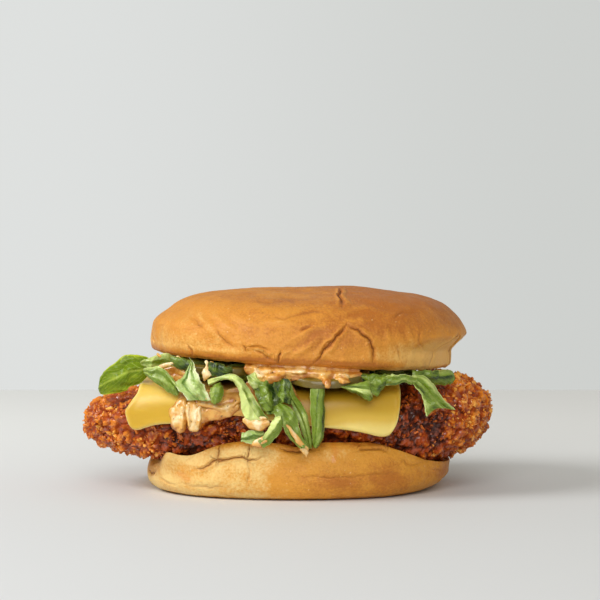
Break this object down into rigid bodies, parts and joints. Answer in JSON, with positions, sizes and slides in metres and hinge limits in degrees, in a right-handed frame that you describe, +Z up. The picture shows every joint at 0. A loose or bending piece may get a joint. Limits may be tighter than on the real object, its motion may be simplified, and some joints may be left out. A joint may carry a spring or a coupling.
{
  "type": "chicken burger",
  "caption": "Crumbed fried chicken fillet in a soft round bun with a hanging cheese slice, shredded lettuce, pickle slices and a herb sauce",
  "frame": {"origin": "centre of the bounding box on the plane it stands on", "axes": "+X along the fillet, to the right as seen from the front; +Y from the front to the back; +Z up"},
  "size_m": [0.1428, 0.1106, 0.0696],
  "materials": {
    "bun_crust": "satin golden brown bread crust",
    "heel_crust": "dull pale golden bread crust",
    "fried_crumb": "rough fried breadcrumbs with a little oil",
    "cheese": "smooth satin",
    "lettuce": "satin leaf",
    "pale_lettuce": "wet pale leaf",
    "pickle": "wet",
    "sauce": "glossy"
  },
  "bodies": {
    "root": {"bun_top": "bun_crust", "bun_bottom": "heel_crust", "chicken_fillet": "fried_crumb", "cheese_slice": "cheese", "lettuce_bed": "lettuce", "pickle_slice": "pickle", "pickle_slice_rear": "pickle", "lettuce_leaf_over_cheese": "lettuce", "lettuce_curl_small": "lettuce", "lettuce_strip_arched": "lettuce", "lettuce_strip_zigzag": "lettuce", "lettuce_fold_middle": "lettuce", "lettuce_dark_shred": "lettuce", "lettuce_strip_long": "lettuce", "lettuce_strip_rolled": "lettuce", "lettuce_funnel": "lettuce", "lettuce_ruffle_right": "lettuce", "lettuce_leaf_hanging": "lettuce", "lettuce_leaf_left": "lettuce", "lettuce_leaf_upper_left": "lettuce", "lettuce_roll_right": "lettuce", "lettuce_leaf_spiked": "pale_lettuce", "lettuce_tip_pale": "pale_lettuce", "sauce_layer": "sauce", "sauce_drip_upper": "sauce", "sauce_drip_left": "sauce", "sauce_ridge": "sauce"}
  },
  "joints": []
}
